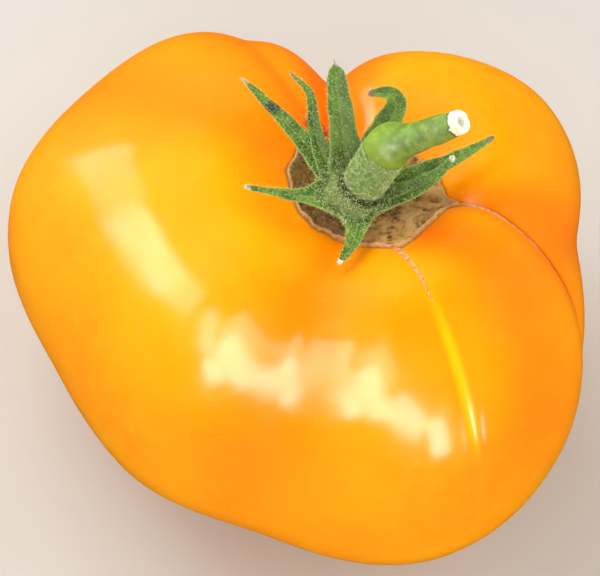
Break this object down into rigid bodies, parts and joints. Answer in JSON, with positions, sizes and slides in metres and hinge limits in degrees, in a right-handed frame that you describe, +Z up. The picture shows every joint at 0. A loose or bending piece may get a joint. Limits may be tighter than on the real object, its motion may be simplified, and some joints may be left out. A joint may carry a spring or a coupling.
{
  "type": "heirloom tomato",
  "caption": "Large lobed orange heirloom tomato resting on its blossom end, with its leafy green calyx and a cut length of stalk.",
  "frame": {"origin": "middle of the small flat spot at the blossom end that the tomato rests on", "axes": "+Z up, out of the stem end; +X towards the side that the stalk leans to; -Y is the side that faces the viewer in the picture"},
  "size_m": [0.0925, 0.0929, 0.0767],
  "materials": {
    "tomato_skin": "satin",
    "corky_scar": "matte",
    "calyx_green": "matte",
    "stalk_green": "matte"
  },
  "bodies": {
    "root": {"fruit": "tomato_skin", "corky_scar": "corky_scar", "calyx": "calyx_green", "stem": "stalk_green"}
  },
  "joints": []
}
